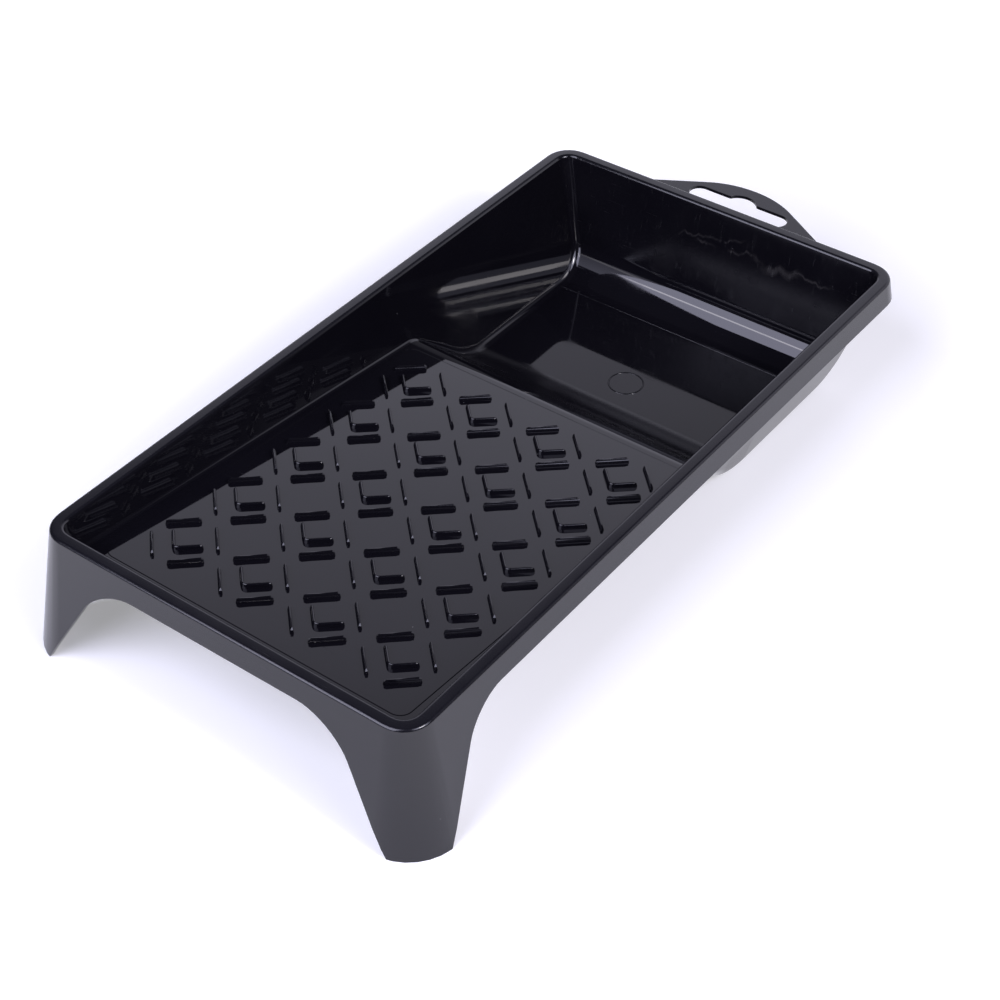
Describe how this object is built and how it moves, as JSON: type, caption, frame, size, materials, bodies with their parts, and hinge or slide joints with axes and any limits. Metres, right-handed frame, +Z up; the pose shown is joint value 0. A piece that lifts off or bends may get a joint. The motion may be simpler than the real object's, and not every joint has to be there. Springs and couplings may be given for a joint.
{
  "type": "paint roller tray",
  "caption": "Shallow black plastic tray for a small paint roller: a ribbed ramp slopes into a paint well, with a flat skirted rim, legs at the front corners and a slotted hanging tab.",
  "frame": {"origin": "on the floor, under the middle of the whole tray with its feet and tab", "axes": "+Z up, +Y along the tray from the legs towards the well and the hanging tab, +X across it"},
  "size_m": [0.167, 0.315, 0.0473],
  "materials": {
    "front_wall": "glossy black, as moulded",
    "right_wall": "glossy black, as moulded",
    "back_wall": "glossy black, as moulded",
    "left_wall": "glossy black, as moulded",
    "ramp_panel": "glossy black, as moulded",
    "well_step": "glossy black, as moulded",
    "well_floor": "glossy black, as moulded",
    "front_rim": "satin black, as moulded",
    "right_rim": "satin black, as moulded",
    "back_rim": "satin black, as moulded",
    "left_rim": "satin black, as moulded",
    "front_skirt": "satin black, as moulded",
    "right_skirt": "satin black, as moulded",
    "back_skirt": "satin black, as moulded",
    "left_skirt": "satin black, as moulded",
    "front_left_leg": "satin black, as moulded",
    "front_right_leg": "satin black, as moulded",
    "hang_tab": "satin black, as moulded"
  },
  "bodies": {
    "root": {"front_wall": "front_wall", "right_wall": "right_wall", "back_wall": "back_wall", "left_wall": "left_wall", "ramp_panel": "ramp_panel", "well_step": "well_step", "well_floor": "well_floor", "front_rim": "front_rim", "right_rim": "right_rim", "back_rim": "back_rim", "left_rim": "left_rim", "front_skirt": "front_skirt", "right_skirt": "right_skirt", "back_skirt": "back_skirt", "left_skirt": "left_skirt", "front_left_leg": "front_left_leg", "front_right_leg": "front_right_leg", "hang_tab": "hang_tab"}
  },
  "joints": []
}
